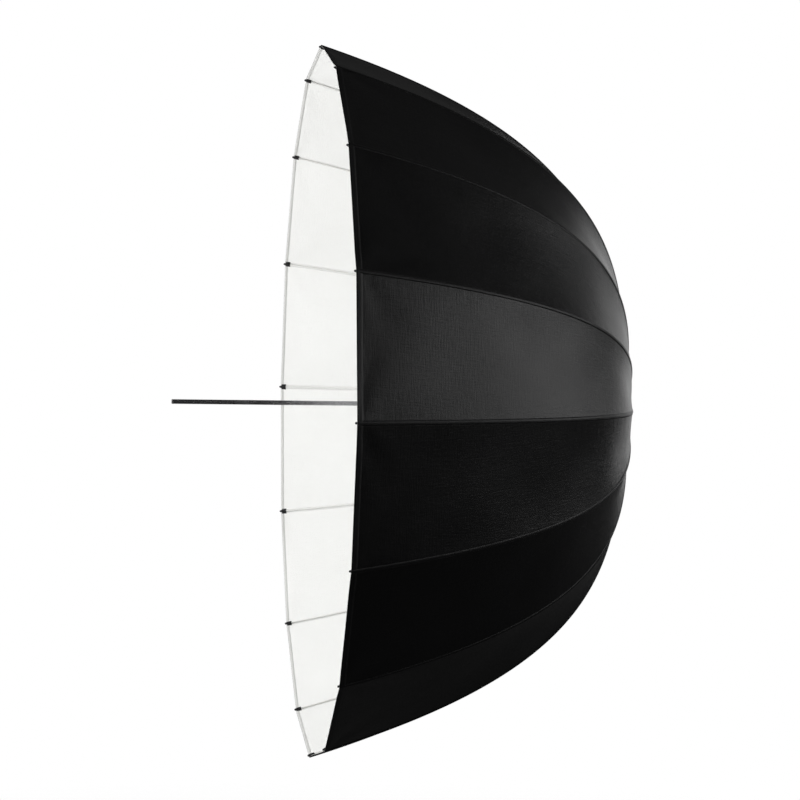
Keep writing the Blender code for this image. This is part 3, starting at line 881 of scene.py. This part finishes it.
JOIN_RADIUS = 0.068
BLADE_HALF_WIDTH, BLADE_HALF_HEIGHT = 0.0008, 0.0020
EYE_RADIUS, EYE_HOLE = 0.0020, 0.00085
SLEEVE_RADIUS = 0.0021
TAB_RADIUS, TAB_HOLE = 0.0026, 0.0011
CHEEK_HALF_WIDTH, CHEEK_PLACE, CHEEK_TAPER = 0.00062, 0.00175, 0.03
PIN_RADIUS, PIN_HEAD_RADIUS, PIN_HEAD_PLACE = 0.0009, 0.0015, 0.00245
STRETCHER_RADIUS = 0.0015
ROD_GAP, ROD_END = 0.0105, 0.003
join_s = length_of(JOIN_RADIUS)
join_point = rod_point(join_s)
start_heading = heading_between(EYE, join_point)


def heading_at(s):
    return heading_between(rod_point(s - 0.002), rod_point(s + 0.002))


def eye_outline(centre, heading, reach):
    """Round the eye, then back along the blade."""
    points = []
    for k in range(21):
        angle = heading + math.pi / 2 + math.pi * k / 20
        points.append(along(centre, angle, EYE_RADIUS))
    for side, shares in ((-1, (0.3, 0.65, 1)), (1, (1, 0.65, 0.3))):
        edge = along(centre, heading + side * math.pi / 2, BLADE_HALF_HEIGHT)
        points += [along(edge, heading, reach * share) for share in shares]
    return points


def on_line(start, heading, profile):
    """Sections along a straight line: profile is (distance, half height, half width, power)."""
    return [(*along(start, heading, distance), heading, *rest) for distance, *rest in profile]


def on_rod(profile):
    """Round sections along the rod: profile is (s, radius)."""
    return [(*rod_point(s), heading_at(s), radius, radius, 2.0) for s, radius in profile]


def rod_shape():
    """The rod from its ferrule at the crown to its end inside the tip cap."""
    straight = [(distance, ROD_RADIUS, ROD_RADIUS, 2.0) for distance in (ROD_GAP, 0.020, 0.030, 0.042)]
    curved = [(s, ROD_RADIUS) for s in np.linspace(join_s, CLOTH_LENGTH - ROD_END, 58)]
    shape = Shape()
    shape.tube(on_line(EYE, start_heading, straight) + on_rod(curved), sides=14)
    return shape


def ferrule_shape():
    """Flat eye on the crown's wire, pressed from the ferrule that holds the rod's end."""
    shape = Shape()
    shape.plate(eye_outline(EYE, start_heading, 0.0085), BLADE_HALF_WIDTH, (EYE, EYE_HOLE))
    shape.tube(on_line(EYE, start_heading, (
        (0.0070, 0.0016, 0.0007, 5.0), (0.0078, 0.0020, 0.00085, 4.0), (0.0095, 0.0021, 0.0014, 3.0),
        (0.0115, 0.0021, 0.0020, 2.2), (0.0185, 0.0021, 0.0021, 2.0), (0.0192, 0.0020, 0.0020, 2.0),
        (0.0195, 0.0017, 0.0017, 2.0),
    )))
    return shape


def bracket_shape():
    """Sleeve pressed on the rod, with the tab that the stretcher is pinned to."""
    shape = Shape()
    low, high, pressed = BRACKET_S - 0.0075, BRACKET_S + 0.0092, SLEEVE_RADIUS - 0.0002
    shape.tube(on_rod((
        (low, 0.00172), (low + 0.0003, SLEEVE_RADIUS), (low + 0.0022, SLEEVE_RADIUS),
        (low + 0.0026, pressed), (low + 0.0030, SLEEVE_RADIUS), (BRACKET_S, SLEEVE_RADIUS),
        (high - 0.0030, SLEEVE_RADIUS), (high - 0.0026, pressed), (high - 0.0022, SLEEVE_RADIUS),
        (high - 0.0003, SLEEVE_RADIUS), (high, 0.00172),
    )), sides=20)
    heading = heading_at(BRACKET_S)
    inward = heading + math.pi / 2
    root = along(PIVOT, inward, 0.0012 - np.linalg.norm(PIVOT - rod_point(BRACKET_S)))
    outline = [along(PIVOT, heading + math.pi * k / 16, TAB_RADIUS) for k in range(17)]
    outline += [along(root, heading, d) for d in (-0.0044, -0.0025, 0.0, 0.0025, 0.0044)]
    shape.plate(outline, BLADE_HALF_WIDTH, (PIVOT, TAB_HOLE))
    return shape


def cap_shape():
    """Moulded cap on the rod's end, with a collar and a rounded nose."""
    past_hem = (
        (-0.0101, 0.00168), (-0.0098, 0.00205), (-0.0088, 0.0021), (-0.0084, 0.00185), (-0.0050, 0.00185),
        (-0.0046, 0.00205), (-0.0010, 0.00205), (0.0012, 0.0020), (0.0022, 0.00165), (0.0027, 0.0011),
        (0.0030, 0.0004),
    )
    shape = Shape()
    shape.tube(on_rod([(CLOTH_LENGTH + past, radius) for past, radius in past_hem]), sides=18)
    return shape


def stretcher_shape():
    """Fork and pin at the bracket, rod, and the flat eye on the runner's wire."""
    reach = RUNNER_EYE - PIVOT
    length, heading = float(np.hypot(*reach)), heading_between(PIVOT, RUNNER_EYE)
    shape = Shape()
    cheek = [along(PIVOT, heading + math.pi / 2 + math.pi * k / 14, TAB_RADIUS) for k in range(15)]
    for side, d in ((-1, 0.002), (-1, 0.0045), (-1, 0.007), (1, 0.007), (1, 0.0045), (1, 0.002)):
        cheek.append(along(along(PIVOT, heading, d), heading + side * math.pi / 2, 0.0025 - CHEEK_TAPER * d))
    for side in (-1, 1):
        shape.plate(cheek, CHEEK_HALF_WIDTH, rounding=0.0002, across=side * CHEEK_PLACE)
    wire = (STRETCHER_RADIUS, STRETCHER_RADIUS, 2.0)
    shape.tube(on_line(PIVOT, heading, (
        (0.0050, 0.0019, 0.0020, 4.0), (0.0056, 0.0023, 0.0023, 4.0), (0.0075, 0.0022, 0.0023, 3.5),
        (0.0095, 0.0018, 0.0019, 2.4), (0.0110, *wire), (length * 0.4, *wire), (length * 0.7, *wire),
        (length - 0.0165, *wire),
        (length - 0.0140, 0.0017, 0.0012, 2.6), (length - 0.0120, 0.0020, 0.0008, 4.0),
        (length - 0.0068, 0.0020, 0.00078, 5.0), (length - 0.0060, 0.0018, 0.0006, 5.0),
    )))
    eye = eye_outline(RUNNER_EYE, heading + math.pi, 0.0080)
    shape.plate(eye, BLADE_HALF_WIDTH, (RUNNER_EYE, EYE_HOLE))
    shape.pin(PIVOT, PIN_RADIUS, 0.0020, slot=1)
    for side in (-1, 1):
        shape.pin(PIVOT, PIN_HEAD_RADIUS, 0.00012, slot=1, dome=0.00045, across=side * PIN_HEAD_PLACE)
    return shape


shapes = (
    ("rib_rod", rod_shape(), [rod_white], "rib_rod"),
    ("rib_ferrule", ferrule_shape(), [wire_steel], "rib_rod"),
    ("rib_bracket", bracket_shape(), [plated_steel], "rib_rod"),
    ("rib_cap", cap_shape(), [tip_nylon], "rib_rod"),
    ("strut", stretcher_shape(), [plated_steel, wire_steel], "stretcher_steel"),
)
for k in range(RIB_COUNT):
    number, angle = f"{k + 1:02d}", k * GORE_ANGLE
    for name, shape, finish, slot in shapes:
        piece = link(f"{name}_{number}", shape.mesh(name, finish, angle))
        if name == "rib_rod":
            start, end = (tuple(about_shaft(p[0], p[1], angle)) for p in (BEND_START, BEND_END))
            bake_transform(piece)
            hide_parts(f"rib_inner_{number}", f"rib_outer_{number}")
        elif name == "strut":
            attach(piece, f"strut_{number}")
            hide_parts(f"stretcher_{number}")
        else:
            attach(piece, f"{'outer' if name == 'rib_cap' else 'inner'}_{number}")


# ---------------------------------------------------------------- shaft, crown, runner

crown_x, runner_x = float(EYE[0]), float(RUNNER_EYE[0])
SHAFT_RADIUS, SHAFT_BORE, BORE = 0.0040, 0.0030, 0.0043
FLANGE_RADIUS, FLANGE_HALF, GROOVE_HALF, GROOVE_FLOOR = 0.0185, 0.0036, 0.0010, 0.0112
SLOT_WIDTH, CROWN_SLOT_FLOOR, RUNNER_SLOT_FLOOR = 0.0022, 0.0100, 0.0104
WASHER_RADIUS, FINIAL_RADIUS, DOME_RADIUS, RING_RADIUS = 0.0160, 0.0108, 0.0105, 0.0006
GRIP_RADIUS, GRIP_GROOVE, LIP_RADIUS = 0.0086, 0.0080, 0.0104
PLUG_NECK, DIMPLE = 0.0027, 0.0004
KEYWAY_HALF_WIDTH, KEYWAY_RADIUS = 0.0013, 0.0066
CATCH_SLOT_LENGTH, CATCH_SLOT_HALF_WIDTH, STOP_HOLE_RADIUS = 0.0110, 0.0012, 0.0011


def rounded(corners, size=0.0004, steps=3):
    """Closed outline with its sharp corners rounded."""
    corners = [np.array(c, float) for c in corners]
    out = []
    for k, corner in enumerate(corners):
        before, after = corners[k - 1] - corner, corners[(k + 1) % len(corners)] - corner
        cut_size = min(size, np.linalg.norm(before) * 0.45, np.linalg.norm(after) * 0.45)
        first = corner + before / np.linalg.norm(before) * cut_size
        last = corner + after / np.linalg.norm(after) * cut_size
        for f in np.linspace(0, 1, steps + 1):
            out.append(tuple((1 - f) ** 2 * first + 2 * f * (1 - f) * corner + f * f * last))
    return out


def flange(front, front_radius, back_radius):
    return [
        (front, BORE), (front, front_radius), (FLANGE_HALF, front_radius + 0.0004),
        (FLANGE_HALF, FLANGE_RADIUS), (GROOVE_HALF, FLANGE_RADIUS), (GROOVE_HALF, GROOVE_FLOOR),
        (-GROOVE_HALF, GROOVE_FLOOR),
        (-GROOVE_HALF, FLANGE_RADIUS), (-FLANGE_HALF, FLANGE_RADIUS), (-FLANGE_HALF, back_radius),
    ]


def hub(name, outline, slot_floor, x):
    """A moulded hub with a slot for each rib."""
    notch = (RIB_COUNT, SLOT_WIDTH, slot_floor)
    return turned(name, rounded(outline, 0.0003, 2), [black_nylon], closed=True, notch=notch, offset=x)


def stand_in(name, mesh, body, node):
    """A piece that takes the place of a CAD node."""
    piece = link(name, mesh)
    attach(piece, body)
    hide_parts(node)


crown_outline = flange(0.0050, 0.0090, 0.0090) + [(-0.0120, 0.0090), (-0.0120, BORE)]
crown_hub = hub("crown_hub", crown_outline, CROWN_SLOT_FLOOR, crown_x)
stand_in("crown_hub", crown_hub, "frame", "crown")

sleeve = [(-0.0060, GRIP_RADIUS)]
for k in range(5):
    at = -0.0082 - 0.0030 * k
    sleeve += [(at, GRIP_RADIUS), (at - 0.0005, GRIP_GROOVE)]
    sleeve += [(at - 0.0011, GRIP_GROOVE), (at - 0.0016, GRIP_RADIUS)]
sleeve += [
    (-0.0245, GRIP_RADIUS), (-0.0260, LIP_RADIUS), (-0.0294, LIP_RADIUS), (-0.0300, 0.0098), (-0.0300, BORE),
]
runner_mesh = hub("runner_hub", flange(0.0060, 0.0078, GRIP_RADIUS) + sleeve, RUNNER_SLOT_FLOOR, runner_x)
keyway = block("keyway", (runner_x - 0.04, runner_x + 0.02), KEYWAY_HALF_WIDTH, (0.002, KEYWAY_RADIUS))
stand_in("runner_hub", cut(runner_mesh, [keyway]), "runner_body", "runner")

turns = 2 * math.pi * np.arange(10) / 10
circle = [(RING_RADIUS * math.cos(a), EYE[1] + RING_RADIUS * math.sin(a)) for a in turns]
for name, node, x, body in (
    ("crown_ring", "crown_wire", crown_x, "frame"), ("runner_ring", "runner_wire", runner_x, "runner_body"),
):
    ring = turned(name, circle, [wire_steel], segments=96, closed=True, offset=x)
    stand_in(name, ring, body, node)

shaft_low, shaft_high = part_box("shaft_tube")
pin_low, pin_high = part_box("stop_pin")
tube_outline = rounded([
    (shaft_low.x, SHAFT_BORE), (shaft_low.x, SHAFT_RADIUS), (shaft_high.x, SHAFT_RADIUS),
    (shaft_high.x, SHAFT_BORE),
], 0.0003)
slot_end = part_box("catch_spring")[1].x - 0.0005
slot_block = block("slot", (slot_end - CATCH_SLOT_LENGTH, slot_end), CATCH_SLOT_HALF_WIDTH, (0, 0.006))
pin_x = (pin_low.x + pin_high.x) / 2
hole = Shape()
hole.pin((pin_x, 0.0), STOP_HOLE_RADIUS, 0.006)
tube = turned("shaft", tube_outline, [shaft_steel], segments=48, closed=True)
tube = cut(tube, [slot_block, hole.mesh("hole", [])])
stand_in("shaft", tube, "frame", "shaft_tube")

cap_low, cap_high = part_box("shaft_end_cap")
end = cap_low.x
plug_outline = [
    (end, DIMPLE), (end, 0.0033), (end + 0.0002, 0.0037), (end + 0.0005, SHAFT_RADIUS),
    (end + 0.0013, SHAFT_RADIUS), (end + 0.0015, 0.0039), (end + 0.0015, PLUG_NECK),
    (cap_high.x, PLUG_NECK - 0.0001), (cap_high.x, DIMPLE),
]
plug = turned("end_plug", plug_outline, [black_nylon], segments=40)
stand_in("end_plug", plug, "frame", "shaft_end_cap")

washer_low, washer_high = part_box("apex_washer")
washer_outline = rounded([
    (washer_low.x, BORE), (washer_low.x, WASHER_RADIUS), (washer_high.x - 0.0004, WASHER_RADIUS),
    (washer_high.x, 0.0150), (washer_high.x, BORE),
], 0.0003)
washer = turned("apex_washer_disc", washer_outline, [gloss_nylon], segments=80, closed=True)
stand_in("apex_washer_disc", washer, "frame", "apex_washer")

base, crest = (corner.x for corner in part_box("finial"))
dome = [
    (crest - 0.0019, DIMPLE), (crest - 0.0019, BORE), (base, BORE), (base, 0.0104),
    (base + 0.0003, FINIAL_RADIUS), (base + 0.0010, FINIAL_RADIUS), (base + 0.0013, DOME_RADIUS),
    (base + 0.0016, DOME_RADIUS),
]
for k in range(1, 13):
    angle = math.pi / 2 * k / 12
    x = base + 0.0016 + (crest - base - 0.0016) * math.sin(angle)
    dome.append((x, max(DIMPLE, DOME_RADIUS * math.cos(angle))))
finial = turned("finial_cap", dome, [gloss_nylon], segments=72)
stand_in("finial_cap", finial, "frame", "finial")

for name in ("catch_spring", "stop_pin"):
    node = frame["nodes"][name]
    node.data.materials.clear()
    node.data.materials.append(spring_steel)


# ---------------------------------------------------------------- floor, light, camera

scene = bpy.context.scene
centre = Vector(((cad_box[0].x + cad_box[1].x) / 2, 0, 0))
FLOOR_DROP, FLOOR_FADE, FLOOR_RADIUS, FLOOR_GLOW = 1.15, 0.9, 2.9, 0.88
FLOOR_TO_OBJECT, FLOOR_TO_CAMERA = (0.10, 0.10, 0.10), (0.35, 0.35, 0.35)
ROOM_GLOW = 0.05


def floor_finish():
    """Pale floor that fades into the background round its edge. Only the camera sees it as pale as
    it is: to the object it is darker, so that the cover's underside stays black."""
    made = Finish("floor_pale", {"Roughness": 0.8, "Specular IOR Level": 0.1})
    away = made.node("ShaderNodeVectorMath", {0: made.place()}, operation="LENGTH").outputs["Value"]
    made.feed(made.shader.inputs["Alpha"], made.ramp(away, FLOOR_FADE, FLOOR_RADIUS, 1.0, 0.0))
    seen = made.node("ShaderNodeLightPath").outputs["Is Camera Ray"]
    made.feed(made.shader.inputs["Base Color"], made.blend(seen, FLOOR_TO_OBJECT, FLOOR_TO_CAMERA))
    made.feed(made.shader.inputs["Emission Color"], (1, 1, 1, 1))
    made.feed(made.shader.inputs["Emission Strength"], made.math("MULTIPLY", seen, FLOOR_GLOW))
    return made.material


rings, sides = 24, 96
floor_points = [(0, 0, 0)]
for size in FLOOR_RADIUS * np.arange(1, rings + 1) / rings:
    for angle in 2 * math.pi * np.arange(sides) / sides:
        floor_points.append((size * math.cos(angle), size * math.sin(angle), 0))
floor_faces = [(0, 1 + k, 1 + (k + 1) % sides) for k in range(sides)]
floor_faces += [[1 + i for i in turned_over(face)] for face in ring_faces(rings, sides)]
floor = link("floor", mesh_from("floor", floor_points, floor_faces, [floor_finish()]))
floor.location = (centre.x, 0, -FLOOR_DROP)

scene.world = bpy.data.worlds.new("studio")
scene.world.use_nodes = True
world = scene.world.node_tree
world.nodes.clear()
room, seen = (world.nodes.new("ShaderNodeBackground") for _ in range(2))
for glow, strength in ((room, ROOM_GLOW), (seen, 1.0)):
    glow.inputs["Color"].default_value = (1, 1, 1, 1)
    glow.inputs["Strength"].default_value = strength
path = world.nodes.new("ShaderNodeLightPath")
pick = world.nodes.new("ShaderNodeMixShader")
out = world.nodes.new("ShaderNodeOutputWorld")
world.links.new(path.outputs["Is Camera Ray"], pick.inputs[0])
world.links.new(room.outputs[0], pick.inputs[1])
world.links.new(seen.outputs[0], pick.inputs[2])
world.links.new(pick.outputs[0], out.inputs["Surface"])


def softbox(name, direction, distance, size, power, spread):
    """A soft rectangular light that faces the object."""
    data = bpy.data.lights.new(name, "AREA")
    data.shape = "RECTANGLE"
    data.size, data.size_y = size
    data.energy = power
    data.spread = math.radians(spread)
    lamp = bpy.data.objects.new(name, data)
    scene.collection.objects.link(lamp)
    way = Vector(direction).normalized()
    lamp.location = centre + way * distance
    lamp.rotation_mode = "QUATERNION"
    lamp.rotation_quaternion = way.to_track_quat("Z", "Y")
    lamp.visible_camera = False


softbox("front", (-1.0, -0.02, 0.05), 0.98, (1.15, 1.15), 16, 180)
softbox("key", (0.97, -0.27, 0.24), 2.9, (3.4, 0.9), 11, 90)
softbox("back", (0.60, 0.80, 0.10), 2.7, (1.8, 1.4), 2.5, 90)

back = Vector((
    math.sin(CAMERA_TURN) * math.cos(CAMERA_RISE), -math.cos(CAMERA_TURN) * math.cos(CAMERA_RISE),
    math.sin(CAMERA_RISE),
))
right = Vector((math.cos(CAMERA_TURN), math.sin(CAMERA_TURN), 0))
up = back.cross(right)
rolled_right = right * math.cos(CAMERA_ROLL) + up * math.sin(CAMERA_ROLL)
rolled_up = up * math.cos(CAMERA_ROLL) - right * math.sin(CAMERA_ROLL)
aim = Vector((RIM_X + AIM_DEPTH * RIM_RADIUS, 0, AIM_RISE * RIM_RADIUS))
camera = bpy.data.objects.new("camera", bpy.data.cameras.new("camera"))
scene.collection.objects.link(camera)
camera.data.lens = CAMERA_LENS
camera.data.clip_end = 100
camera.matrix_world = Matrix.Translation(aim + back * CAMERA_RADII * RIM_RADIUS) @ Matrix(
    (rolled_right, rolled_up, back)
).transposed().to_4x4()
scene.camera = camera
scene.view_settings.view_transform = "Standard"
